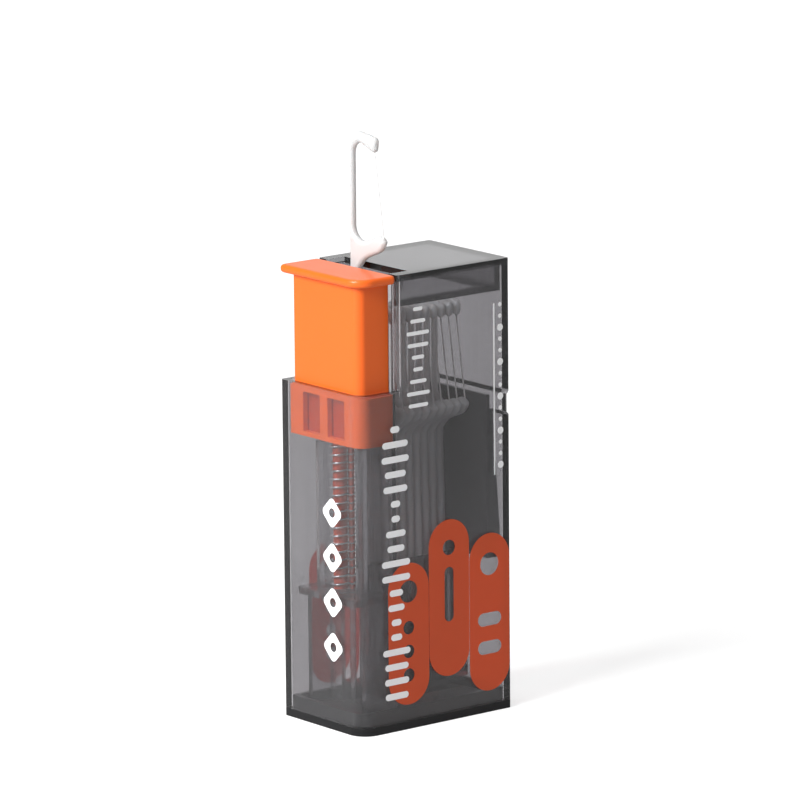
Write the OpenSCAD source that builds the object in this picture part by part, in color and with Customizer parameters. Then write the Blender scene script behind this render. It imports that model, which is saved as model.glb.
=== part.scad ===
// Press-to-lift dispenser for dental floss picks. A clear smoked housing holds a rack of picks
// at the tall side and a sprung push button in the low step beside it. The origin is the middle
// of the foot, with +X from the button to the rear, +Y away from the printed face and +Z up.

/* [Housing] */
// Width of the housing, from the button side to the rear
body_w = 39.4; // [38:0.1:46]
// Depth of the housing, front to back
body_d = 25.8; // [25:0.1:32]
// Height from the foot to the top of the cover
body_h = 95; // [93:0.5:110]
// Wall of the clear shell
wall = 1.3; // [1:0.05:1.5]
// Round of the upright corner between the printed face and the button side
front_r = 4; // [2.5:0.1:6]
// Round of the other upright corner on the button side
back_r = 0.6; // [0.4:0.1:1.6]
// Round of the two upright corners at the rear
rear_r = 0.5; // [0.4:0.1:2]
// Width of the low step that holds the button
step_w = 10.1; // [9.6:0.1:11.5]
// Height of the rim of the low step
step_h = 71; // [66:0.5:73]
// Height of the finger groove in the rear face, above the foot
grip_z = 64.7; // [40:0.1:68]
// Width of the finger groove at its mouth
grip_w = 5.3; // [3:0.1:8]
// Depth of the finger groove
grip_depth = 0.8; // [0.3:0.05:0.8]

/* [Base and cover] */
// Thickness of the base plate outside the shell
base_t = 1.7; // [1.2:0.1:3]
// Height of the base's plug inside the shell
plug_h = 2.8; // [1.5:0.1:4]
// Thickness of the raised floor inside the plug
floor_t = 1; // [0.6:0.1:1.5]
// Thickness of the cover's top
cover_t = 1.3; // [1:0.05:2]
// Depth of the cover's skirt inside the shell
skirt_h = 5.4; // [4:0.1:6]
// Height of the thick lip at the bottom of the skirt
lip_h = 1.2; // [0.8:0.1:2]
// Extra thickness of that lip, towards the inside
lip_t = 0.8; // [0.4:0.1:1]
// Length of the slot that the pick comes out of, front to back
slot_l = 20.4; // [18:0.1:21]
// Width of the slot
slot_w = 4.7; // [4.4:0.1:4.9]
// Thickness of the skirts on the base and the cover
skirt_t = 1.1; // [0.8:0.1:1.3]

/* [Button] */
// How far the button's neck stands in from the step's walls, at front and back
neck_in = 0.95; // [0.8:0.05:2.6]
// Wall of the hollow button
button_t = 1.2; // [0.9:0.05:1.4]
// Thickness of the thumb plate
plate_t = 1.8; // [1.4:0.1:2.5]
// Round of the thumb plate's edges
plate_round = 0.7; // [0.4:0.05:0.7]
// Height of the collar that slides inside the step
collar_h = 10.2; // [9:0.1:12]
// Width of each pocket in the collar's outer face
pocket_w = 5.5; // [4:0.1:6]
// Height of each pocket
pocket_h = 8.2; // [5:0.1:8.4]
// Rib left between the two pockets
pocket_rib = 2.5; // [1.5:0.1:4]
// Depth of each pocket
pocket_depth = 1.5; // [0.8:0.05:1.6]
// Diameter of the post that guides the return spring
post_d = 3; // [2.4:0.1:3.2]

/* [Springs] */
// Outer diameter of the return spring
spring_d = 4.6; // [4.4:0.1:5]
// Wire of the return spring
spring_wire = 0.45; // [0.3:0.05:0.5]
// Turns of the return spring
spring_turns = 20; // [12:1:22]
// Wire of the cone spring behind the follower
cone_wire = 0.5; // [0.3:0.05:0.6]
// Diameter of the cone spring at its wide end
cone_d = 14; // [11:0.5:15]
// Diameter of the cone spring at its narrow end
cone_small = 5.4; // [4.6:0.1:6]
// Turns of the cone spring
cone_turns = 4; // [3:1:5]

/* [Frame and rack] */
// Thickness of the upright wall between the button and the picks
partition_t = 1; // [0.8:0.05:1.1]
// Height of the top of the spring's shelf
shelf_z = 28; // [26:0.5:30]
// Thickness of that shelf
shelf_t = 1.5; // [1:0.1:2.2]
// Spacing of the two guide rails beside the spring
rail_gap = 11.5; // [11:0.1:13]
// Width of each rail, front to back
rail_w = 2.6; // [1.6:0.1:2.8]
// Thickness of each rail
rail_t = 1.6; // [1.2:0.1:2]
// Spacing of the two props under the shelf
prop_gap = 16.8; // [16:0.1:18]
// Thickness of each prop
prop_t = 1.2; // [0.8:0.1:1.4]
// Height of the two walls that guide the pick handles
rack_h = 32; // [24:1:36]
// Wall of the rack
rack_t = 1; // [0.8:0.1:1.4]
// Room behind the picks for the follower and its spring
back_room = 4.1; // [3.9:0.1:5]

/* [Picks] */
// Gap between neighbouring picks in the rack
pick_gap = 0.36; // [0.3:0.02:0.4]
// Room between the picks in the rack and the cover's lip
head_room = 1.9; // [1:0.1:3]
// Greatest width of the handle
handle_w = 3.8; // [3:0.1:4]
// Height of the head above the neck
head_h = 27.6; // [26:0.1:28.4]
// Reach of the head's lower arm from the middle of the handle
head_w = 10.1; // [9.6:0.1:10.4]
// Diameter of the floss
floss_d = 0.3; // [0.2:0.05:0.4]
// Height of the rack's picks above the foot, at the tips of their handles
tip_z = 10.6; // [10:0.1:12]
// Height that the pick in the slot has been lifted by
lift_h = 36.2; // [34:0.1:38]
// Place of the handles front to back, behind the middle
pick_y = 3.2; // [2.6:0.1:3.6]

/* [Fits] */
// Gap around pieces that slide
slide_gap = 0.3; // [0.2:0.02:0.35]
// Gap around plugs and skirts that are pressed in
plug_gap = 0.12; // [0.05:0.01:0.2]
// Radial clearance of round pegs in their holes
peg_gap = 0.05; // [0.02:0.01:0.1]

/* [Hidden] */
$fn = 48;

left = -body_w / 2;
right = body_w / 2;
half_d = body_d / 2;
step_x = left + step_w;
in_left = left + wall;
in_right = right - wall;
in_half = half_d - wall;
shell_top = body_h - cover_t;
sharp_r = 0.6;
inner_r = 0.3;
cut = 1;

// The button, at rest with its collar just under the rim
rim_drop = 0.8;
button_left = in_left + slide_gap;
button_right = step_x - slide_gap;
button_mid = (button_left + button_right) / 2;
neck_half = in_half - neck_in;
neck_r = 2;
collar_half = in_half - slide_gap;
collar_r = front_r - wall - slide_gap;
collar_top = step_h - rim_drop;
collar_z = collar_top - collar_h;
bridge_t = 1.5;
plate_z = body_h - plate_t;
plate_r = 1;
stop_gap = 0.2;
travel = plate_z - step_h - stop_gap;
plate_right = step_x - stop_gap;

// The upright partition and the base inside the shell
partition_x = step_x + partition_t;
partition_top = step_h - cut;
floor_z = base_t + floor_t;
plug_inset = plug_gap + skirt_t + slide_gap;

// The follower and its spring, and the picks that share the room in front of it
pick_count = 9;
follower_x = in_right - back_room;
follower_t = 1;
follower_back = in_right - 2 * slide_gap;
free_room = follower_x - partition_x - 2 * slide_gap;
pick_t = (free_room - (pick_count + 1) * pick_gap) / (pick_count + 2);
pitch = pick_t + pick_gap;
handle_l = shell_top - skirt_h - head_room - head_h - tip_z;
foot_w = handle_w - stop_gap;
follower_rise = 8;
follower_top = tip_z + handle_l + follower_rise;
corner_cut = 3;
cheek_t = 1.2;
cheek_w = 1.8;
cheek_rise = 6;
cone_drop = 8.8;
cone_z = tip_z + handle_l - cone_drop;
ring_t = 0.7;
ring_h = 0.8;

// The lifter with its hook, the slot it runs in and the channel for one pick
raised_x = partition_x + slide_gap + pick_t / 2;
raised_tip = tip_z + lift_h;
stop_bar = 2.5;
slot_gap = 0.5;
arm_w = 4;
arm_top = partition_top - stop_bar - slide_gap;
peg_r = 1.2;
peg_z = arm_top - 2 * peg_r;
hook_t = 2;
hook_web = 1.2;
hook_play = 0.4;
hook_nose = 0.8;
hook_top = tip_z + travel + hook_play;
hook_right = raised_x + pick_t / 2 + stop_gap;
hook_low = hook_top - travel - hook_t - hook_web;
slot_foot = hook_low - 2 * slide_gap;

// The rack round the handles
overlap = 0.1;
rack_x = raised_x + pitch - pick_t / 2 + overlap;
rack_back = in_right - stop_gap;
rack_half = handle_w / 2 + slide_gap;
rack_floor = tip_z - slide_gap;
window_w = 4;
window_pitch = 6.4;
window_edge = 3;
window_top = 5;

// The cup round the foot of the return spring, and the air at the ends of both springs
cup_t = 1.2;
cup_h = 0.8;
seat_gap = 0.02;

// One side of a pick's handle from its tip to its neck, as fractions of half its width and of
// its length
HANDLE = [[0.16, 0], [0.47, 0.145], [0.79, 0.29], [1, 0.394], [0.895, 0.747], [0.647, 0.979]];

// Plan with r0 round the corner between the printed face and the button side, at most back_r
// at the other end of the button side and r1 at the rear
module plan(x0, x1, half, r0, r1) {
    rb = min(r0, back_r);
    polygon([[x0 + r0, -half], [x1 - r1, -half], [x1, -half + r1], [x1, half - r1],
             [x1 - r1, half], [x0 + rb, half], [x0, half - rb], [x0, -half + r0]]);
    translate([x0 + r0, -half + r0]) circle(r = r0);
    translate([x0 + rb, half - rb]) circle(r = rb);
    for (side = [-1, 1]) translate([x1 - r1, side * (half - r1)]) circle(r = r1);
}

module block(x0, x1, half, r0, r1, z0, z1) {
    translate([0, 0, z0]) linear_extrude(z1 - z0) plan(x0, x1, half, r0, r1);
}

module box(x0, x1, y0, y1, z0, z1) {
    translate([x0, y0, z0]) cube([x1 - x0, y1 - y0, z1 - z0]);
}

// Outline in the Y-Z plane given a thickness along X
module upright(x0, thick) {
    translate([x0, 0, 0]) rotate([90, 0, 90]) linear_extrude(thick) children();
}

// Outline in the X-Z plane given a thickness along Y
module sideways(y0, thick) {
    translate([0, y0 + thick, 0]) rotate([90, 0, 0]) linear_extrude(thick) children();
}

// Clear smoked shell: a tall box with a low step, open below, above and at the step's rim
module shell() {
    ring_in = cone_d / 2 + slide_gap;
    color([0.32, 0.32, 0.35, 0.35]) {
        difference() {
            union() {
                block(left, right, half_d, front_r, rear_r, base_t, step_h);
                block(step_x, right, half_d, sharp_r, rear_r, step_h - cut, shell_top);
            }
            block(in_left, in_right, in_half, front_r - wall, inner_r, base_t - cut, step_h - cut);
            block(in_left, step_x, in_half, front_r - wall, overlap, step_h - 2 * cut, step_h + cut);
            block(step_x + wall, in_right, in_half, inner_r, inner_r, step_h - 2 * cut, body_h + cut);
            box(step_x - cut, step_x + wall + cut, -neck_half - slide_gap, neck_half + slide_gap,
                step_h - 2 * cut, body_h + cut);
            box(step_x - cut, step_x + wall + cut, -in_half, in_half, step_h - 2 * cut, step_h);
            finger_groove();
        }
        translate([in_right, 0, cone_z]) rotate([0, -90, 0]) difference() {
            cylinder(r = ring_in + ring_t, h = ring_h);
            translate([0, 0, -cut]) cylinder(r = ring_in, h = ring_h + 2 * cut);
        }
    }
}

// Groove with sloping sides, right across the rear face
module finger_groove() {
    half = grip_w / 2;
    sideways(-half_d - cut, body_d + 2 * cut)
        polygon([[right + cut, grip_z - half - cut], [right + cut, grip_z + half + cut],
                 [right - grip_depth, grip_z + half - grip_depth],
                 [right - grip_depth, grip_z - half + grip_depth]]);
}

// Near-black base with a plug that fills the mouth of the shell
module base_plate() {
    plug = plug_gap + wall;
    color([0.10, 0.10, 0.11]) {
        block(left, right, half_d, front_r, rear_r, 0, base_t);
        difference() {
            block(left + plug, right - plug, half_d - plug, front_r - plug, inner_r,
                  base_t, base_t + plug_h);
            block(left + plug + skirt_t, right - plug - skirt_t, half_d - plug - skirt_t,
                  front_r - plug - skirt_t, inner_r, floor_z, base_t + plug_h + cut);
        }
    }
}

// Dark cover with the exit slot and a skirt that plugs into the tall part of the shell
module top_cover() {
    skirt = wall + plug_gap;
    skirt_x = step_x + skirt;
    inner = skirt + skirt_t;
    lip_in = skirt_x + skirt_t + lip_t;
    color([0.16, 0.16, 0.18]) difference() {
        union() {
            block(step_x, right, half_d, sharp_r, rear_r, shell_top, body_h);
            block(skirt_x, right - skirt, half_d - skirt, sharp_r, sharp_r,
                  shell_top - skirt_h, shell_top);
        }
        block(skirt_x + skirt_t, right - inner, half_d - inner, inner_r, inner_r,
              shell_top - skirt_h + lip_h, shell_top);
        block(lip_in, right - inner - lip_t, half_d - inner - lip_t, inner_r, inner_r,
              shell_top - skirt_h - cut, shell_top);
        box(step_x - cut, step_x + slot_w, -slot_l / 2, slot_l / 2,
            shell_top - skirt_h - cut, body_h + cut);
    }
}

// Grey frame: partition with the lifter's slot, spring shelf, rails and the rack for handles
module inner_frame() {
    edge = in_half - plug_inset;
    corner = front_r - wall;
    rail_x = button_mid - rail_t / 2;
    cup_d = spring_d + 2 * slide_gap;
    color([0.42, 0.42, 0.45]) {
        difference() {
            union() {
                box(step_x, partition_x, -edge, edge, floor_z, partition_top);
                box(in_left + stop_gap, partition_x, -in_half + corner, in_half - corner,
                    shelf_z - shelf_t, shelf_z);
                for (side = [-1, 1]) {
                    box(rail_x, rail_x + rail_t, side * rail_gap / 2 - rail_w / 2,
                        side * rail_gap / 2 + rail_w / 2, shelf_z - cut, collar_z - bridge_t);
                    box(in_left + corner, partition_x, side * prop_gap / 2 - prop_t / 2,
                        side * prop_gap / 2 + prop_t / 2, floor_z, shelf_z - cut);
                }
                translate([button_mid, 0, shelf_z - cut])
                    cylinder(d = cup_d + 2 * cup_t, h = cup_h + cut);
            }
            translate([button_mid, 0, shelf_z]) cylinder(d = cup_d, h = cup_h + cut);
            translate([button_mid, 0, shelf_z - shelf_t - cut])
                cylinder(d = post_d + 2 * slide_gap, h = shelf_t + 2 * cut);
            box(step_x - cut, partition_x + cut, pick_y - arm_w / 2 - slot_gap,
                pick_y + arm_w / 2 + slot_gap, slot_foot, partition_top - stop_bar);
        }
        rack();
    }
}

// Narrow trough that keeps the handles upright and in line
module rack() {
    low = pick_y - rack_half;
    high = pick_y + rack_half;
    y0 = low - rack_t;
    y1 = high + rack_t;
    difference() {
        box(rack_x, rack_back, y0, y1, floor_z, rack_h);
        box(rack_x - cut, rack_back + cut, low, high, rack_floor, rack_h + cut);
        box(rack_x + window_w, rack_back - window_w, y0 - cut, y1 + cut,
            floor_z + 2 * prop_t, rack_floor - prop_t);
        box(in_right - plug_inset - stop_gap, rack_back + cut, y0 - cut, y1 + cut,
            floor_z - cut, base_t + plug_h + slide_gap);
        for (k = [0 : 2])
            translate([rack_x + window_edge + window_pitch * k, 0, 0])
                box(0, window_w, y0 - cut, y1 + cut, rack_floor + window_edge, rack_h - window_top);
    }
    box(partition_x, rack_x, y0, y1, floor_z, slot_foot - overlap);
}

// Orange push button: thumb plate, hollow neck, wide collar with two pockets and spring post
module press_button() {
    pocket_wall = button_t + pocket_depth;
    bridge_half = rail_gap / 2 - rail_w / 2 - slide_gap;
    color([0.98, 0.46, 0.13]) {
        thumb_plate();
        difference() {
            union() {
                block(button_left, button_right, neck_half, neck_r, sharp_r, collar_z, plate_z);
                block(button_left, button_right, collar_half, collar_r, sharp_r, collar_z, collar_top);
            }
            block(button_left + button_t, button_right - button_t, neck_half - button_t,
                  neck_r - button_t, inner_r, collar_top, plate_z);
            block(button_left + pocket_wall, button_right - button_t, neck_half - button_t,
                  inner_r, inner_r, collar_z - cut, collar_top + cut);
            for (side = [-1, 1])
                translate([button_left - cut, side * (pocket_w + pocket_rib) / 2 - pocket_w / 2,
                           (collar_z + collar_top - pocket_h) / 2])
                    cube([cut + pocket_depth, pocket_w, pocket_h]);
            peg_hole();
        }
        box(button_left + pocket_wall - overlap, button_right - button_t + overlap,
            -bridge_half, bridge_half, collar_z, collar_z + bridge_t);
        translate([button_mid, 0, floor_z + travel + slide_gap])
            cylinder(d = post_d, h = collar_z - floor_z - travel);
    }
}

// Plate in the outline of the step, with softly rounded edges
module thumb_plate() {
    hull() for (a = [0 : 22.5 : 90]) {
        inset = plate_round * (1 - cos(a));
        rise = plate_round * (1 - sin(a));
        block(left + inset, plate_right - inset, half_d - inset, front_r - inset, plate_r - inset,
              plate_z + rise, body_h - rise, $fn = 32);
    }
}

module peg_hole() {
    translate([button_right - button_t - cut, pick_y, peg_z]) rotate([0, 90, 0])
        cylinder(r = peg_r + peg_gap, h = button_t + 2 * cut);
}

// Arm under the button that carries the hook which lifts a pick
module lifter() {
    arm_left = step_x - slide_gap;
    arm_right = partition_x - overlap;
    web_z = hook_top - hook_t - hook_web;
    color([0.85, 0.85, 0.83]) {
        box(arm_left, arm_right, pick_y - arm_w / 2, pick_y + arm_w / 2, hook_top - hook_t, arm_top);
        sideways(pick_y - foot_w / 2, foot_w)
            polygon([[arm_left, web_z], [arm_right + stop_gap, web_z],
                     [hook_right, hook_top - hook_nose], [hook_right, hook_top],
                     [arm_left, hook_top]]);
        translate([arm_left - button_t, pick_y, peg_z]) rotate([0, 90, 0])
            cylinder(r = peg_r, h = button_t + stop_gap);
    }
}

// Height along a coil whose first and last turns lie closed; t counts turns
function coil_z(t, turns, length, wire) =
    t < 1 ? t * wire :
    t > turns - 1 ? length - wire - (turns - t) * wire :
    wire + (t - 1) * (length - 3 * wire) / (turns - 2);

// Wire wound round Z from z = 0 to length, with its radius going from r0 to r1
module coil(r0, r1, length, turns, wire, steps) {
    sides = 8;
    rings = turns * steps;
    points = [for (i = [0 : rings], j = [0 : sides - 1])
        let (a = 360 * i / steps, b = 360 * j / sides, r = r0 + (r1 - r0) * i / rings,
             q = r + wire / 2 * cos(b))
        [q * cos(a), q * sin(a),
         wire / 2 + coil_z(i / steps, turns, length, wire) + wire / 2 * sin(b)]];
    faces = concat(
        [[for (j = [0 : sides - 1]) j]],
        [for (i = [0 : rings - 1], j = [0 : sides - 1])
            let (n = (j + 1) % sides)
            [i * sides + j, (i + 1) * sides + j, (i + 1) * sides + n, i * sides + n]],
        [[for (j = [sides - 1 : -1 : 0]) rings * sides + j]]);
    polyhedron(points, faces);
}

module return_spring() {
    seat = shelf_z + seat_gap;
    color([0.75, 0.76, 0.78]) translate([button_mid, 0, seat])
        coil((spring_d - spring_wire) / 2, (spring_d - spring_wire) / 2,
             collar_z - seat - seat_gap, spring_turns, spring_wire, 14);
}

// Dark pusher: a wide plate behind the heads, sloping cheeks and a foot in the rack
module follower() {
    half = in_half - slide_gap;
    low = rack_h + slide_gap;
    shoulder = follower_top - corner_cut;
    color([0.14, 0.14, 0.15]) {
        upright(follower_x, follower_t)
            polygon([[-half, low], [half, low], [half, shoulder], [half - corner_cut, follower_top],
                     [-half, follower_top]]);
        for (y0 = [-half, half - cheek_t])
            sideways(y0, cheek_t)
                polygon([[follower_x, low], [follower_back, low], [follower_back, low + cheek_rise],
                         [follower_x + cheek_w, shoulder], [follower_x, shoulder]]);
        box(follower_x, follower_back, pick_y - foot_w / 2, pick_y + foot_w / 2, tip_z, low + cut);
        translate([follower_x + follower_t - overlap, 0, cone_z]) rotate([0, 90, 0])
            cylinder(d = cone_small - 2 * (cone_wire + slide_gap), h = cut + overlap);
    }
}

// Cone spring, wide end on the rear wall, so that its turns nest when it is pushed flat
module follower_spring() {
    start = follower_x + follower_t + seat_gap;
    color([0.75, 0.76, 0.78]) translate([start, 0, cone_z]) rotate([0, 90, 0])
        coil((cone_small - cone_wire) / 2, (cone_d - cone_wire) / 2, in_right - start - seat_gap,
             cone_turns, cone_wire, 20);
}

function rising(side) = [for (p = HANDLE) [side * p[0] * handle_w / 2, p[1] * handle_l]];

function falling(side) = [for (i = [len(HANDLE) - 1 : -1 : 0]) rising(side)[i]];

function head(y, z) = [[y * head_w, handle_l + z * head_h]];

// Bend of an arm round a centre given like a point of the head, radius as a fraction of its reach
function arc(y, z, r, from, to, n) =
    [for (i = [0 : n]) let (a = from + (to - from) * i / n)
        head(y, z)[0] + r * head_w * [cos(a), sin(a)]];

// Outline of a pick standing on its tip, its string side towards -Y. Points of the head are
// fractions of its reach and its height, from the middle of the neck
module pick_outline() {
    polygon(concat(
        rising(1), head(0.129, 0.145), head(0.144, 0.362), head(0.139, 0.638),
        arc(-0.198, 0.877, 0.332, 0, 90, 10), head(-0.554, 0.982),
        arc(-0.634, 0.938, 0.099, 70, 190, 6),
        head(-0.703, 0.855), head(-0.564, 0.866), head(-0.416, 0.891),
        arc(-0.238, 0.819, 0.257, 90, 0, 8), head(0.02, 0.565),
        arc(-0.267, 0.29, 0.292, 0, -100, 8),
        head(-0.535, 0.203), head(-0.733, 0.243), head(-0.832, 0.25), head(-1, 0.214),
        head(-0.95, 0.167), head(-0.842, 0.12), head(-0.614, 0.091), head(-0.337, 0.047),
        head(-0.188, -0.014), falling(-1)));
}

// Moulded frame of a pick, with a shallow panel sunk in each side of the handle
module pick(x, z) {
    sink = pick_t / 6;
    panel_w = 0.42 * handle_w;
    panel_z = 0.373 * handle_l;
    panel_l = 0.415 * handle_l;
    color([0.94, 0.94, 0.93]) translate([0, pick_y, z]) difference() {
        upright(x - pick_t / 2, pick_t) pick_outline();
        for (at = [x - pick_t / 2 - cut, x + pick_t / 2 - sink])
            upright(at, cut + sink) {
                translate([-panel_w / 2, panel_z]) square([panel_w, panel_l]);
                translate([0, panel_z]) circle(d = panel_w);
                translate([0, panel_z + panel_l]) circle(d = panel_w);
            }
    }
}

// Straight strand between the two arms of a head
module floss(x, z) {
    top = head(-0.624, 0.877)[0];
    low = head(-0.901, 0.225)[0];
    span = norm(top - low);
    lean = atan2(top[0] - low[0], top[1] - low[1]);
    color([0.93, 0.93, 0.9]) translate([x, pick_y + low[0], z + low[1]]) rotate([-lean, 0, 0])
        cylinder(d = floss_d, h = span, $fn = 16);
}

function rack_place(k) = raised_x + (k + 1) * pitch;

shell();
base_plate();
top_cover();
inner_frame();
press_button();
lifter();
return_spring();
follower();
follower_spring();
pick(raised_x, raised_tip);  // raised_pick
floss(raised_x, raised_tip);  // raised_floss
pick(rack_place(1), tip_z);  // pick_1
pick(rack_place(2), tip_z);  // pick_2
pick(rack_place(3), tip_z);  // pick_3
pick(rack_place(4), tip_z);  // pick_4
pick(rack_place(5), tip_z);  // pick_5
pick(rack_place(6), tip_z);  // pick_6
pick(rack_place(7), tip_z);  // pick_7
pick(rack_place(8), tip_z);  // pick_8
pick(rack_place(9), tip_z);  // pick_9
floss(rack_place(1), tip_z);  // floss_1
floss(rack_place(2), tip_z);  // floss_2
floss(rack_place(3), tip_z);  // floss_3
floss(rack_place(4), tip_z);  // floss_4
floss(rack_place(5), tip_z);  // floss_5
floss(rack_place(6), tip_z);  // floss_6
floss(rack_place(7), tip_z);  // floss_7
floss(rack_place(8), tip_z);  // floss_8
floss(rack_place(9), tip_z);  // floss_9
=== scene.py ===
import math
import bmesh
import bpy
import numpy as np
from mathutils import Matrix, Vector
from mathutils.geometry import delaunay_2d_cdt, tessellate_polygon


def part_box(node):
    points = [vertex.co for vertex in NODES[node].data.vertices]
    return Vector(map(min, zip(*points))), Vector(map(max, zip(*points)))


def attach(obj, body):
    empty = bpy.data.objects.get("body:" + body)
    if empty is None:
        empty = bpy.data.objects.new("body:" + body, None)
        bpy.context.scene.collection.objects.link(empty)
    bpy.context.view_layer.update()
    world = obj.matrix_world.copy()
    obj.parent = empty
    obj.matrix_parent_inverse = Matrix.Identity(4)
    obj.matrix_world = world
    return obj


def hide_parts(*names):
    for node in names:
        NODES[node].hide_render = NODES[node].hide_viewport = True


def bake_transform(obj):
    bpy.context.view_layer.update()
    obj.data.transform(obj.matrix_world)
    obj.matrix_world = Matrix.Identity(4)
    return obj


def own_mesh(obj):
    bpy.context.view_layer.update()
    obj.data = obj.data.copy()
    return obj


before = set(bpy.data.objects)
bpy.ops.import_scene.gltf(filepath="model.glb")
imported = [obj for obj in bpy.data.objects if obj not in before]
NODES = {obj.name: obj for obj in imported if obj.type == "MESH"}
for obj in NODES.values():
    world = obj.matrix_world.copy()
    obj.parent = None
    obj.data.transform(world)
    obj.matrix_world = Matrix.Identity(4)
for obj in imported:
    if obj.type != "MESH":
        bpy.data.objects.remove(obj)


def log_size():
    """Brings the placements of the scene's objects up to date."""
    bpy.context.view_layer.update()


log_size()


# Base plate
# Near-black moulded ABS. Its plug is pressed into the mouth of the clear shell, and its outer
# edge shows under the shell as a dark rim with softly broken corners.

MM = 0.001
WELD_GAP = 0.002 * MM
FLAT_ANGLE, CORNER_ANGLE = math.radians(0.4), math.radians(32)


def feed(tree, node, sockets):
    """Gives each named socket of a node the output of another node, or a plain value."""
    for name, value in sockets.items():
        if isinstance(value, bpy.types.NodeSocket):
            tree.links.new(value, node.inputs[name])
        else:
            node.inputs[name].default_value = value


def add(tree, kind, sockets=None, **settings):
    """Adds a shader node with its settings and what goes into its sockets."""
    node = tree.nodes.new("ShaderNode" + kind)
    for name, value in settings.items():
        setattr(node, name, value)
    feed(tree, node, sockets or {})
    return node


def noise(tree, coords, scale, detail, rough=0.5):
    """Cloudy pattern from 0 to 1 over the piece; scale counts its spots per metre."""
    return add(tree, "TexNoise", {"Vector": coords, "Scale": scale, "Detail": detail,
                                  "Roughness": rough}).outputs["Fac"]


def ramp(tree, value, low, high, start=0.0, end=1.0):
    """Goes straight from low to high while the value goes from start to end."""
    return add(tree, "MapRange", {"Value": value, "From Min": start, "From Max": end,
                                  "To Min": low, "To Max": high}).outputs["Result"]


def between(tree, share, first, second):
    """Colour that goes from the first to the second while the share goes from 0 to 1."""
    return add(tree, "Mix", {"Factor": share, "A": first, "B": second},
               data_type="RGBA").outputs["Result"]


def shades(colour, spread):
    """The colour times 1 - spread and times 1 + spread, each value held at 1."""
    return [(*(min(1.0, c * k) for c in colour), 1) for k in (1 - spread, 1 + spread)]


def new_material(name):
    """A material, its node tree, its shader and the piece's own coordinates."""
    material = bpy.data.materials.new(name)
    material.use_nodes = True
    tree = material.node_tree
    return material, tree, tree.nodes["Principled BSDF"], add(tree, "TexCoord").outputs["Object"]


def moulded(name, colour, rough, mottle=0.08, grain=0.02, grain_size=2600.0, coat=0.0,
            soft=0.0, specular=0.5, scatter=0.0012):
    """Moulded plastic: the colour drifts by mottle over centimetres and the gloss with it, and
    a fine even grain of the tool's surface is pressed in as bump. soft is the share of light
    that goes through the plastic and out again, scatter how far it gets, in metres."""
    material, tree, shader, coords = new_material(name)
    drift = noise(tree, coords, 70.0, 3.0, 0.55)
    fine = noise(tree, coords, grain_size, 2.0)
    bump = add(tree, "Bump", {"Strength": grain, "Distance": 0.1 * MM, "Height": fine})
    feed(tree, shader, {
        "Base Color": between(tree, drift, *shades(colour, mottle)),
        "Roughness": ramp(tree, drift, rough * 0.85, rough * 1.2),
        "Normal": bump.outputs["Normal"],
        "Specular IOR Level": specular,
        "Coat Weight": coat,
        "Coat Roughness": 0.08,
        "Subsurface Weight": soft,
        "Subsurface Scale": scatter,
        "Subsurface Radius": (1.0, 0.9, 0.85),
    })
    return material


def finish_node(name, material, edge=0.0):
    """Gives a CAD node its material and, with an edge above 0, rounded edges of that many mm.
    The loaded faces are welded and flat ones merged first, so that the round runs evenly."""
    piece = NODES[name]
    for place in piece.material_slots:
        place.material = material
    if edge > 0:
        weld = piece.modifiers.new("weld", "WELD")
        weld.merge_threshold = WELD_GAP
        merge = piece.modifiers.new("merge", "DECIMATE")
        merge.decimate_type = "DISSOLVE"
        merge.angle_limit = FLAT_ANGLE
        bevel = piece.modifiers.new("edge", "BEVEL")
        bevel.width = edge * MM
        bevel.segments = 3
        bevel.limit_method = "ANGLE"
        bevel.angle_limit = CORNER_ANGLE
        bevel.use_clamp_overlap = True
        bevel.miter_outer = "MITER_ARC"
        even = piece.modifiers.new("even", "WEIGHTED_NORMAL")
        even.weight = 60
        even.keep_sharp = False
    piece.data.polygons.foreach_set("use_smooth", np.ones(len(piece.data.polygons), bool))


black_base = moulded("black_abs", (0.0095, 0.0095, 0.0105), 0.34, mottle=0.12, specular=0.3)
finish_node("base_plate", black_base, 0.25)


# Clear shell
# One clear, smoked polystyrene moulding with walls of 1.3 mm. The smoke is in the plastic, so
# the edges, where light runs along the wall, look much darker than the faces.


def calc(tree, operation, *values):
    """Result of one operation on outputs of nodes or numbers."""
    return add(tree, "Math", dict(enumerate(values)), operation=operation).outputs[0]


def smoked(name, tint, depth, shade, haze, rough=0.03, painted_shade_band=None):
    """Clear plastic with smoke in it. tint is what one wall's two faces let through, depth how
    fast the light fades inside, per metre, and haze the share that each face scatters. Lamps
    shine through it, shade as strong. The last argument gives the bottom and top of a band, in
    metres, of painted shade, and the share of the tint that the faces let through there."""
    material, tree, shader, coords = new_material(name)
    colour = between(tree, noise(tree, coords, 45.0, 2.0), *shades(tint, 0.04))
    if painted_shade_band:
        low, high, share = painted_shade_band
        height = add(tree, "SeparateXYZ", {0: coords}).outputs["Z"]
        inside = calc(tree, "COMPARE", height, (low + high) / 2, (high - low) / 2)
        colour = between(tree, inside, colour, (*(c * share for c in tint), 1))
    rub = noise(tree, coords, 600.0, 4.0)
    feed(tree, shader, {
        "Base Color": colour,
        "Roughness": ramp(tree, rub, rough * 0.4, rough * 1.8),
        "Transmission Weight": 1 - haze,
        "IOR": 1.49,
    })
    clear = add(tree, "BsdfTransparent", {"Color": (shade, shade, shade, 1)})
    shadow = add(tree, "LightPath").outputs["Is Shadow Ray"]
    face = add(tree, "MixShader", {0: shadow, 1: shader.outputs[0], 2: clear.outputs[0]})
    smoke = add(tree, "VolumeAbsorption", {"Color": (0.0, 0.0, 0.02, 1), "Density": depth})
    feed(tree, tree.nodes["Material Output"], {"Surface": face.outputs[0],
                                               "Volume": smoke.outputs[0]})
    return material


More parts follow.
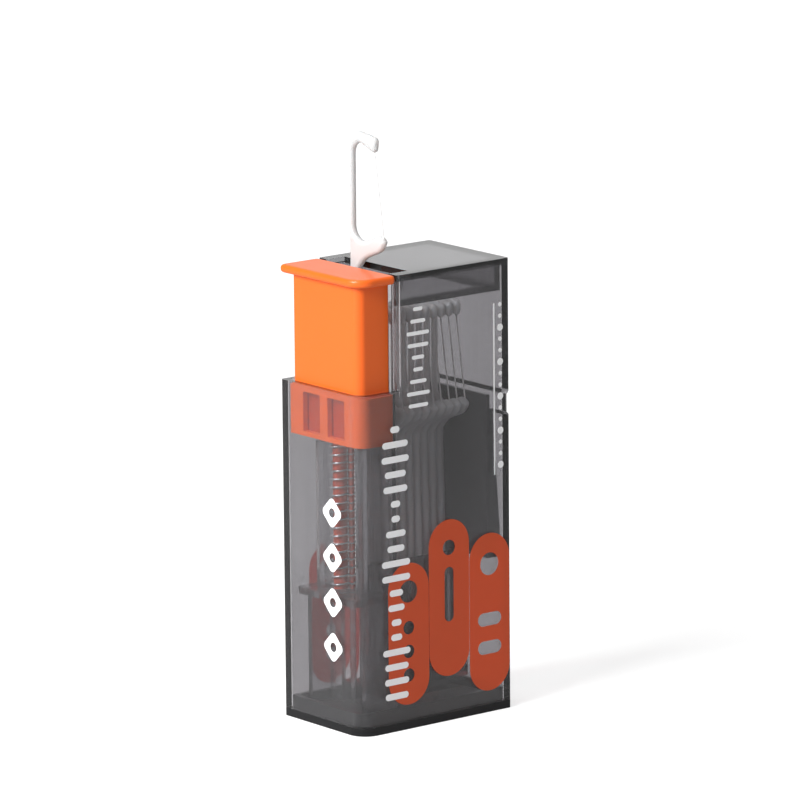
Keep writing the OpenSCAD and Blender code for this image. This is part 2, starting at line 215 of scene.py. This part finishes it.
clear_smoke = smoked("clear_smoke_plastic", (0.476, 0.467, 0.482), 35.0, shade=0.81, haze=0.022,
                     rough=0.015)
finish_node("shell", clear_smoke, 0.18)


# Inner frame
# Partition, spring shelf, guide rails and the rack for the handles in one grey, half-clear
# moulding that drops into the shell and stands on the base.

grey_frame = smoked("grey_frame_plastic", (0.645, 0.64, 0.655), 100.0, shade=0.85, haze=0.04)
finish_node("inner_frame", grey_frame, 0.15)


# Springs
# Two bright steel wires: the return spring round the button's post, with closed ends, and the
# flat cone spring, its wide end on the wall opposite the button and its small end on the
# follower.

RETURN_WIRE = 0.45 * MM
RETURN_TURNS = 20
CONE_WIRE = 0.5 * MM
CONE_TURNS = 4
CONE_SMALL, CONE_WIDE = 4.9 * MM, 13.5 * MM
CONE_Z = 50 * MM


def steel(name):
    """Drawn steel wire: bright metal with small paler spots, where it is also less glossy."""
    material, tree, shader, coords = new_material(name)
    spots = noise(tree, coords, 900.0, 3.0)
    feed(tree, shader, {
        "Base Color": between(tree, spots, (0.62, 0.63, 0.65, 1), (0.86, 0.86, 0.87, 1)),
        "Roughness": ramp(tree, spots, 0.16, 0.32),
        "Metallic": 1.0,
    })
    return material


def link_new(name, data):
    """A new object of the data, at the origin of the scene."""
    piece = bpy.data.objects.new(name, data)
    bpy.context.scene.collection.objects.link(piece)
    return piece


def surface(name, points, faces, material, smooth=True):
    """A mesh object from points, in metres, and the numbers of the points round each face."""
    mesh = bpy.data.meshes.new(name)
    mesh.from_pydata(points.tolist(), [], faces)
    mesh.validate()
    mesh.polygons.foreach_set("use_smooth", np.full(len(mesh.polygons), smooth))
    mesh.materials.append(material)
    return link_new(name, mesh)


def wound_wire(line, wire, axis, sides=14):
    """Round wire along a line wound round an axis. Each ring is a circle spanned by the way
    square to the line and the axis, and the way square to that and the line. The ends are
    closed."""
    along = np.gradient(line, axis=0)
    along /= np.linalg.norm(along, axis=1)[:, None]
    side = np.cross(along, axis)
    side /= np.linalg.norm(side, axis=1)[:, None]
    other = np.cross(along, side)
    a = np.linspace(0, 2 * math.pi, sides, endpoint=False)[:, None]
    points = line[:, None] + wire / 2 * (np.cos(a) * side[:, None] + np.sin(a) * other[:, None])
    i, j = np.divmod(np.arange((len(line) - 1) * sides), sides)
    k = (j + 1) % sides
    faces = np.stack([i * sides + j, i * sides + k, (i + 1) * sides + k, (i + 1) * sides + j], 1)
    ring = np.arange(sides)
    ends = [ring[::-1].tolist(), (ring + (len(line) - 1) * sides).tolist()]
    return points.reshape(-1, 3), faces.tolist() + ends


def coil(r0, r1, length, turns, wire, steps=40):
    """Line of a coil round Z from height 0: the radius goes from r0 to r1 as the turns count
    up, and the first and last turn lie closed against their neighbours."""
    t = np.linspace(0, turns, turns * steps + 1)
    z = np.interp(t, [0, 1, turns - 1, turns], [0, wire, length - 2 * wire, length - wire])
    r = r0 + (r1 - r0) * t / turns
    a = 2 * math.pi * t
    return np.stack([r * np.cos(a), r * np.sin(a), z + wire / 2], 1)


spring_wire = steel("spring_steel")
low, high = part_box("return_spring")
coil_r = (high.x - low.x - RETURN_WIRE) / 2
coil_x = (low.x + high.x) / 2
line = coil(coil_r, coil_r, high.z - low.z, RETURN_TURNS, RETURN_WIRE) + (coil_x, 0, low.z)
spring = surface("return_coil", *wound_wire(line, RETURN_WIRE, (0, 0, 1)), spring_wire)
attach(spring, "housing")
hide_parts("return_spring")
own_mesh(spring)

low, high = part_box("follower_spring")
line = coil(CONE_SMALL / 2, CONE_WIDE / 2, high.x - low.x, CONE_TURNS, CONE_WIRE, steps=60)
line = np.stack([line[:, 2] + low.x, line[:, 1], CONE_Z - line[:, 0]], 1)
cone = surface("follower_cone", *wound_wire(line, CONE_WIRE, (1, 0, 0)), spring_wire)
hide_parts("follower_spring")
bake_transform(cone)


# Button
# Orange ABS with a satin tool finish: thumb plate, hollow neck, and the collar with its two
# pockets, which slides in the step of the shell and carries the post for the spring.

ORANGE = (0.86, 0.135, 0.013)
# Middle and half size along X, Y and Z, in mm, of the places that little light gets to, where the
# orange is darkened as painted shade
POCKET_FLOORS = (-16.6, 0.35), (0, 7), (65.1, 4.2)
# The guide post's orange is darkened here as painted shade
GUIDE_POST = (-14.0, 1.6), (0, 1.6), (42, 17.9)
POCKET_FLOOR_PAINTED_SHADE = (0.5, 0.05, 0.012, 1)
GUIDE_POST_PAINTED_SHADE = (0.42, 0.055, 0.022, 1)


def paint_shade(material, spots):
    """Paints shade into the plastic: another, darker colour inside each box, where the place along
    X, Y and Z is no farther from the box's middle than its half size."""
    tree = material.node_tree
    shader = tree.nodes["Principled BSDF"]
    coords = tree.nodes["Texture Coordinate"].outputs["Object"]
    place = add(tree, "SeparateXYZ", {0: coords}).outputs
    colour = shader.inputs["Base Color"].links[0].from_socket
    for box, painted_shade_colour in spots:
        inside = 1.0
        for axis, (middle, reach) in zip("XYZ", box):
            near = calc(tree, "COMPARE", place[axis], middle * MM, reach * MM)
            inside = calc(tree, "MULTIPLY", inside, near)
        colour = between(tree, inside, colour, painted_shade_colour)
    feed(tree, shader, {"Base Color": colour})


orange = moulded("orange_abs", ORANGE, 0.36, mottle=0.03, soft=0.08, coat=0.2, specular=0.32)
# Painted shade: the pocket floors and the guide post get a darker orange, as little light reaches
# them
paint_shade(orange, ((POCKET_FLOORS, POCKET_FLOOR_PAINTED_SHADE), (GUIDE_POST, GUIDE_POST_PAINTED_SHADE)))
finish_node("press_button", orange, 0.28)


# Lifter
# Arm of natural nylon with the hook that carries a pick up. Its peg sits in the button's
# wall, and it runs in the slot of the partition.

lifter_white = moulded("nylon_white", (0.72, 0.71, 0.68), 0.4, soft=0.1)
finish_node("lifter", lifter_white, 0.15)


# Picks
# White polystyrene frames with round arms and a strand moulded into each, one standing in
# the slot and nine in the rack. Each handle has a shallow panel sunk in both sides.

PICK_THICK = 1.7
HANDLE_L, HANDLE_W = 48.2, 3.8
HEAD_H, HEAD_W = 27.6, 10.1
# How far each tip stands off the middle of the housing, away from the printed front
PICK_Y = 3.2
# Half the handle's width at heights up to the neck, as shares of its half width and length
HANDLE = [[0.16, 0], [0.47, 0.145], [0.79, 0.29], [1, 0.394], [0.895, 0.747], [0.647, 0.979]]
PANEL_LOW, PANEL_HIGH = 0.373 * HANDLE_L, 0.788 * HANDLE_L
PANEL_R = 0.21 * HANDLE_W
PANEL_SINK, PANEL_SLOPE = PICK_THICK / 6, 0.22
# Rows of points in the round of the edge and across the panel, as shares of their half widths
ROUND_ROWS = np.array([0.04, 0.14, 0.3, 0.52, 0.78, 1.05])
PANEL_ROWS = np.array([-42, -36, -22, 0, 22, 36, 42]) / 42


def unit(a):
    """Points on the circle of radius 1 at the angles a."""
    return np.stack([np.cos(a), np.sin(a)], -1)


def pick_line():
    """Outline of a pick in mm, tip at the origin and strand side towards -y: the handle from
    its table of half widths, then the two arms with their bends, in the CAD's proportions."""
    handle = np.array(HANDLE) * (HANDLE_W / 2, HANDLE_L)

    def head(*rows):
        return np.array(rows) * (HEAD_W, HEAD_H) + (0, HANDLE_L)

    def arc(y, z, r, start, end, n):
        return head([y, z]) + r * HEAD_W * unit(np.radians(np.linspace(start, end, n + 1)))

    return np.concatenate([
        handle, head([0.129, 0.145], [0.144, 0.362], [0.139, 0.638]),
        arc(-0.198, 0.877, 0.332, 0, 90, 16), head([-0.554, 0.982]),
        arc(-0.634, 0.938, 0.099, 70, 190, 10),
        head([-0.703, 0.855], [-0.564, 0.866], [-0.416, 0.891]),
        arc(-0.238, 0.819, 0.257, 90, 0, 14), head([0.02, 0.565]),
        arc(-0.267, 0.29, 0.292, 0, -100, 14),
        head([-0.535, 0.203], [-0.733, 0.243], [-0.832, 0.25], [-1, 0.214], [-0.95, 0.167],
             [-0.842, 0.12], [-0.614, 0.091], [-0.337, 0.047], [-0.188, -0.014]),
        handle[::-1] * (-1, 1)])


def soften(line, rounds=2):
    """Corner cutting: each side of the closed line keeps its quarter points."""
    for _ in range(rounds):
        after = np.roll(line, -1, 0)
        line = np.stack([0.75 * line + 0.25 * after, 0.25 * line + 0.75 * after], 1).reshape(-1, 2)
    return line


def evenly(line, spacing):
    """Points at even steps along a closed line."""
    closed = np.concatenate([line, line[:1]])
    run = np.concatenate([[0], np.cumsum(np.linalg.norm(np.diff(closed, axis=0), axis=1))])
    at = np.arange(0, run[-1] - spacing / 2, spacing)
    return np.stack([np.interp(at, run, closed[:, 0]), np.interp(at, run, closed[:, 1])], 1)


def reach_inside(points, line, batch=4000):
    """Distance of each point from a closed line, negative outside it. A point is inside where
    a straight way from it towards +y crosses the line an odd number of times."""
    a, b = line, np.roll(line, -1, 0)
    out = np.empty(len(points))
    for k in range(0, len(points), batch):
        p = points[k:k + batch, None]
        t = np.clip(((p - a) * (b - a)).sum(2) / ((b - a) ** 2).sum(1), 0, 1)
        near = np.linalg.norm(p - a - t[:, :, None] * (b - a), axis=2).min(1)
        cross = (a[:, 1] > p[:, :, 1]) != (b[:, 1] > p[:, :, 1])
        with np.errstate(divide="ignore", invalid="ignore"):
            at = a[:, 0] + (p[:, :, 1] - a[:, 1]) * (b[:, 0] - a[:, 0]) / (b[:, 1] - a[:, 1])
        odd = (cross & (p[:, :, 0] < at)).sum(1) % 2 == 1
        out[k:k + batch] = np.where(odd, near, -near)
    return out


def grid(y, z):
    """Every pair of a y and a z."""
    y, z = np.meshgrid(y, z)
    return np.stack([y.ravel(), z.ravel()], 1)


def pick_net(line, spacing):
    """Points of a pick's face: its outline, rows that follow it in the round of the edge, a
    square net inside and a finer one in the panel; points that nearly meet are thinned."""
    way = np.roll(line, -1, 0) - np.roll(line, 1, 0)
    way /= np.linalg.norm(way, axis=1)[:, None]
    inward = np.stack([-way[:, 1], way[:, 0]], 1)
    round_r = PICK_THICK / 2
    sets = [line]
    for inset in round_r * ROUND_ROWS:
        row = line + inward * inset
        sets.append(row[reach_inside(row, line) > 0.93 * inset])
    net = grid(np.arange(-11, 4, 2 * spacing), np.arange(0, 77, 2 * spacing))
    sets.append(net[reach_inside(net, line) > 1.2 * round_r])
    sets.append(grid(PANEL_ROWS * PANEL_R, np.arange(0.35, 0.81, 0.008) * HANDLE_L))
    flat = np.concatenate(sets)
    keep = np.unique(np.round(flat / (0.3 * spacing)), axis=0, return_index=True)[1]
    return flat[np.union1d(keep, np.arange(len(line)))]


def pick_surface(spacing):
    """Both faces of a pick over one triangle net. Half the thickness rises from the outline in
    a quarter circle, and inside the handle's panel it falls again in a soft step."""
    line = evenly(soften(pick_line()), spacing)
    count = len(line)
    loop = [(i, (i + 1) % count) for i in range(count)]
    net = [Vector(p) for p in pick_net(line, spacing)]
    flat, _, faces, *_ = delaunay_2d_cdt(net, loop, [], 1, 1e-6)
    flat = np.array(flat)
    faces = np.array([f for f in faces if len(f) == 3])
    round_r = PICK_THICK / 2
    depth = np.clip(reach_inside(flat, line), 0, round_r) / round_r
    depth[:count] = 0
    height = round_r * np.sqrt(1 - (1 - depth) ** 2)
    middle = np.clip(flat[:, 1], PANEL_LOW, PANEL_HIGH)
    fall = np.clip((PANEL_R - np.hypot(flat[:, 0], flat[:, 1] - middle)) / PANEL_SLOPE, 0, 1)
    height -= PANEL_SINK * fall * fall * (3 - 2 * fall)
    n = np.arange(len(flat))
    other = np.where(n < count, n, n + len(flat))
    sides = [np.stack([side * height, flat[:, 0], flat[:, 1]], 1) for side in (1, -1)]
    faces = np.concatenate([faces, other[faces][:, ::-1]])
    used, faces_used = np.unique(faces, return_inverse=True)
    return np.concatenate(sides)[used] * MM, faces_used.reshape(faces.shape).tolist()


def place_pick(name, node, form, body, material):
    """A pick's surface set at its CAD node, riding on that node's body."""
    points, faces = form
    low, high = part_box(node)
    at = ((low.x + high.x) / 2, PICK_Y * MM, low.z)
    piece = surface(name, points + at, faces, material)
    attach(piece, body)
    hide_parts(node)


pick_white = moulded("pick_plastic", (0.74, 0.745, 0.74), 0.3, mottle=0.02, soft=0.85,
                     scatter=4 * MM)
# A darker copy of the pick plastic for the pick in the slot: painted shade, so that it stands out
# from the white behind it in the strong key light
pick_painted_shade = moulded("pick_plastic_in_the_open", (0.53, 0.538, 0.54), 0.3, mottle=0.02,
                       soft=0.85, scatter=4 * MM)
floss_white = moulded("strand", (0.88, 0.88, 0.87), 0.5, mottle=0.04, grain=0.3,
                      grain_size=9000.0)
place_pick("pick_in_slot", "raised_pick", pick_surface(0.22), "lifted_pick", pick_painted_shade)
finish_node("raised_floss", floss_white)
form = pick_surface(0.34)
for k in range(1, 10):
    place_pick("rack_pick_%d" % k, "pick_%d" % k, form, "pick_stack", pick_white)
    finish_node("floss_%d" % k, floss_white)


# Follower
# Dark ABS plate with sloping cheeks that the cone spring pushes against the stack of picks.
# Its foot runs in the rack.

dark_follower = moulded("dark_abs", (0.042, 0.041, 0.044), 0.3, mottle=0.1)
finish_node("follower", dark_follower, 0.2)


# Cover
# Glossy cap in darker smoke, with the exit slot and a skirt pressed into the shell. Its cut
# edges look black, and the thick lip at the bottom of the skirt is darkened by painted shade.

# Height band of the skirt's lip, where shade is painted in, and the share of the tint that its faces
# let through there
LIP_LOW, LIP_HIGH = 88.4 * MM, 89.5 * MM
LIP_PAINTED_SHADE_SHARE = 0.12

dark_smoke = smoked("dark_smoke_plastic", (0.75, 0.745, 0.755), 330.0, shade=0.9, haze=0.02,
                    painted_shade_band=(LIP_LOW, LIP_HIGH, LIP_PAINTED_SHADE_SHARE))
finish_node("top_cover", dark_smoke, 0.22)


# Print
# Screen print in orange and white on the outside of the clear shell: a generic pattern of
# capsules, bars, dots and diamonds. Its places are in mm, from the middle of each face and
# from the foot.

ORANGE_INK = (0.83, 0.14, 0.042)
WHITE_LIFT = 0.045


def circle(x, z, r, n=40):
    """Circle of n points."""
    return (x, z) + r * unit(np.linspace(0, 2 * math.pi, n, endpoint=False))


def capsule(x0, x1, z0, z1, n=20):
    """Bar with half-round ends that fills the given box: a circle as wide as its short way,
    with its two halves moved apart along the long way."""
    wide, tall = (x1 - x0) / 2, (z1 - z0) / 2
    r = min(wide, tall)
    start = 0 if tall >= wide else -math.pi / 2
    a = np.concatenate([np.linspace(0, math.pi, n), np.linspace(math.pi, 2 * math.pi, n)])
    end = np.repeat([1, -1], n)[:, None]
    return (x0 + wide, z0 + tall) + r * unit(a + start) + end * (wide - r, tall - r)


def diamond(x, z, r, n=10):
    """Square on its corner: four quarter circles of a third of its reach, each round a place
    on the way to its corner."""
    corner = np.radians([0, 90, 180, 270])[:, None]
    q = r / 3
    arcs = (r - 1.3 * q) * unit(corner) + q * unit(corner + np.linspace(-math.pi / 4, math.pi / 4, n))
    return (x, z) + arcs.reshape(-1, 2)


def row_of_bars(x, z, pitch, half, reaches):
    """Lying bars one above the other, each with its own reach to both sides."""
    return [[capsule(x - reach, x + reach, z + pitch * k - half, z + pitch * k + half)]
            for k, reach in enumerate(reaches)]


def on_face(axis, at):
    """Gives the function that puts a flat drawing out mm before the face of the shell where X,
    for axis 0, or Y, for axis 1, has the value at."""
    def place(flat, out):
        return np.insert(flat, axis, at + math.copysign(out, at), axis=1)
    return place


def film(name, shapes, place, material, lift=0.015, thick=0.02):
    """Ink film: each shape is an outline with holes, in mm in the plane of the face, filled
    with triangles on both sides and closed round every edge."""
    points, faces = np.empty((0, 3)), []
    for loops in shapes:
        flat = np.concatenate(loops)
        n = len(flat)
        start = len(points)
        points = np.concatenate([points, place(flat, lift), place(flat, lift + thick)])
        cap = np.array(tessellate_polygon([[Vector((*p, 0)) for p in q] for q in loops])) + start
        firsts = start + np.cumsum([0] + [len(q) for q in loops[:-1]])
        here = np.arange(start, start + n)
        after = np.concatenate([np.roll(np.arange(first, first + len(q)), -1)
                                for first, q in zip(firsts, loops)])
        wall = np.stack([here, after, after + n, here + n], 1)
        faces += cap.tolist() + (cap[:, ::-1] + n).tolist() + wall.tolist()
    piece = surface(name, points * MM, faces, material, smooth=False)
    work = bmesh.new()
    work.from_mesh(piece.data)
    bmesh.ops.recalc_face_normals(work, faces=work.faces)
    work.to_mesh(piece.data)
    work.free()
    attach(piece, "housing")


def let_through(material, colour, share):
    """Ink thin enough to let a share of the light through, in its own colour."""
    tree = material.node_tree
    ink = tree.nodes["Principled BSDF"].outputs[0]
    clear = add(tree, "BsdfTransparent", {"Color": (*colour, 1)}).outputs[0]
    both = add(tree, "MixShader", {0: share, 1: ink, 2: clear}).outputs[0]
    feed(tree, tree.nodes["Material Output"], {"Surface": both})


ink_orange = moulded("orange_ink", ORANGE_INK, 0.42, mottle=0.04, grain=0.1)
let_through(ink_orange, (1.0, 0.2, 0.09), 0.42)
ink_rear = moulded("orange_ink_one_coat", ORANGE_INK, 0.42, mottle=0.04, grain=0.1)
let_through(ink_rear, (1.0, 0.29, 0.26), 0.8)
ink_white = moulded("white_ink", (0.95, 0.95, 0.96), 0.45, mottle=0.03, grain=0.1)

low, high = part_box("shell")
front = on_face(1, low.y / MM)
rear = on_face(1, high.y / MM)
button_side = on_face(0, low.x / MM)

capsules = [
    [capsule(-12.7, -2.1, 5.2, 35.0), circle(-7.4, 29.0, 2.3), circle(-7.4, 21.4, 1.4),
     circle(-7.4, 16.4, 1.4), circle(-7.4, 11.4, 1.4)],
    [capsule(-2.0, 8.6, 9.5, 42.5), capsule(2.1, 4.5, 21.0, 32.5), circle(3.3, 36.6, 1.6)],
    [capsule(8.7, 19.3, 4.6, 38.0), circle(14.0, 31.5, 2.4), capsule(10.9, 17.1, 12.4, 15.2),
     capsule(10.9, 17.1, 18.4, 21.2)],
]
film("print_orange_front", capsules, front, ink_orange)
film("print_orange_rear", capsules, rear, ink_rear)

row = np.arange(19)
low_bars = row_of_bars(-10.6, 7.5, 3.1, 0.68,
                       2.4 + 1.1 * np.sin(0.9 * row) + 0.7 * np.sin(2.3 * row + 1.0))
row = np.arange(9)
high_bars = row_of_bars(-4.4, 67.5, 2.5, 0.4, 2.1 + 0.9 * np.sin(1.3 * row + 0.5))
film("print_bars_front", low_bars + high_bars, front, ink_white, lift=WHITE_LIFT)

ticks = [[capsule(15.4, 15.75, 50.0, 86.0)]]
ticks += [[circle(17.2, 52.0 + 2.4 * k, 0.45 if k % 3 else 0.75, 16)] for k in range(15)]
film("print_ticks_front", ticks, front, ink_white, lift=WHITE_LIFT)

diamonds = [[diamond(-3.6, z, 3.3), circle(-3.6, z, 1.0, 24)] for z in (17.5, 26.9, 36.3, 45.7)]
film("print_diamonds_side", diamonds, button_side, ink_white)


# Studio
# Pale sweep that bends up into a wall, one large soft lamp at the left, a weak one above and
# even light from all round.

CARD_WAY = (0.625, 0.78, 0)


def studio_white(name, shown, card):
    """Matt sweep. Seen straight or through clear plastic, it gets even light as strong as
    shown, and more a long way off, so that it reads as paper white and still holds the shadow.
    In gloss the floor stays as it is lit, and the wall opposite the camera is a bright card."""
    material, tree, shader, coords = new_material(name)
    drift = noise(tree, coords, 3.0, 2.0)
    path = add(tree, "LightPath").outputs
    straight = calc(tree, "MAXIMUM", path["Is Camera Ray"], path["Is Transmission Ray"])
    away = add(tree, "VectorMath", {0: coords}, operation="LENGTH").outputs["Value"]
    even = calc(tree, "MULTIPLY", straight, ramp(tree, away, shown, 1.1, start=0.3, end=1.6))
    flat = add(tree, "VectorMath", {0: coords, 1: (1, 1, 0)}, operation="MULTIPLY").outputs[0]
    way = add(tree, "VectorMath", {0: flat}, operation="NORMALIZE").outputs[0]
    ahead = add(tree, "VectorMath", {0: way, 1: CARD_WAY}, operation="DOT_PRODUCT")
    across = ramp(tree, ahead.outputs["Value"], 0.0, 1.0, start=0.6, end=0.95)
    height = add(tree, "SeparateXYZ", {0: coords}).outputs["Z"]
    bright = calc(tree, "MULTIPLY", ramp(tree, height, 0.0, card, start=0.02, end=0.3), across)
    feed(tree, shader, {
        "Base Color": between(tree, drift, (0.5, 0.5, 0.5, 1), (0.53, 0.53, 0.53, 1)),
        "Roughness": 0.9,
        "Specular IOR Level": 0.1,
        "Emission Color": (1, 1, 1, 1),
        "Emission Strength": calc(tree, "MULTIPLY_ADD", path["Is Glossy Ray"], bright, even),
    })
    return material


def sweep(name, material, half_width=4.0, reach=3.0, bend=0.8, height=3.0):
    """Floor that bends up into a back wall in a quarter circle, as a profile drawn out to both
    sides, in metres."""
    a = np.linspace(0, math.pi / 2, 24)
    y = np.concatenate([[-reach], reach - bend + bend * np.sin(a), [reach]])
    z = np.concatenate([[0.0], bend - bend * np.cos(a), [height]])
    x = np.tile([-half_width, half_width], len(y))
    points = np.stack([x, np.repeat(y, 2), np.repeat(z, 2)], 1)
    faces = np.array([0, 1, 3, 2]) + 2 * np.arange(len(y) - 1)[:, None]
    surface(name, points, faces.tolist(), material)


def lamp(name, place, size, power, aim=(0, 0, 0.055)):
    """Square soft lamp of that size in metres and power in watts, turned to the object."""
    data = bpy.data.lights.new(name, "AREA")
    data.shape = "RECTANGLE"
    data.size = size
    data.size_y = size
    data.energy = power
    piece = link_new(name, data)
    way = Vector(place) - Vector(aim)
    piece.matrix_world = Matrix.Translation(place) @ way.to_track_quat("Z", "Y").to_matrix().to_4x4()


sweep("sweep", studio_white("sweep_white", 0.6, 0.72))
lamp("key", (-1.1, -0.06, 0.72), 0.6, 27.0)
lamp("top", (0.0, 0.2, 1.1), 0.8, 2.5)

world = bpy.data.worlds.new("studio")
bpy.context.scene.world = world
world.use_nodes = True
feed(world.node_tree, world.node_tree.nodes["Background"], {"Color": (1, 1, 1, 1),
                                                            "Strength": 0.35})


# Camera
# Placed by a fit to twelve corners of the housing in the photograph: how far it is turned
# round the object, how high it stands, how it leans, and its focal length in pixels.

AZIMUTH, ELEVATION, ROLL = map(math.radians, (-38.69, 12.08, -0.51))
DISTANCE = 1.4185
FOCAL_PIXELS, PHOTO_PIXELS = 6913.5, 800
AIM_SIDEWAYS, AIM_HEIGHT = 0.92 * MM, 65.86 * MM
SENSOR = 36

back = Vector((math.sin(AZIMUTH) * math.cos(ELEVATION), -math.cos(AZIMUTH) * math.cos(ELEVATION),
               math.sin(ELEVATION)))
level = Vector((math.cos(AZIMUTH), math.sin(AZIMUTH), 0))
upright = back.cross(level)
right = level * math.cos(ROLL) + upright * math.sin(ROLL)
up = upright * math.cos(ROLL) - level * math.sin(ROLL)
target = Vector((0, 0, AIM_HEIGHT)) + level * AIM_SIDEWAYS
camera_data = bpy.data.cameras.new("camera")
camera_data.sensor_width = SENSOR
camera_data.lens = FOCAL_PIXELS / PHOTO_PIXELS * SENSOR
camera_data.clip_start = 0.1
camera = link_new("camera", camera_data)
turn = Matrix((right, up, back)).transposed().to_4x4()
camera.matrix_world = Matrix.Translation(target + back * DISTANCE) @ turn
bpy.context.scene.camera = camera
bpy.context.scene.view_settings.view_transform = "Standard"

log_size()
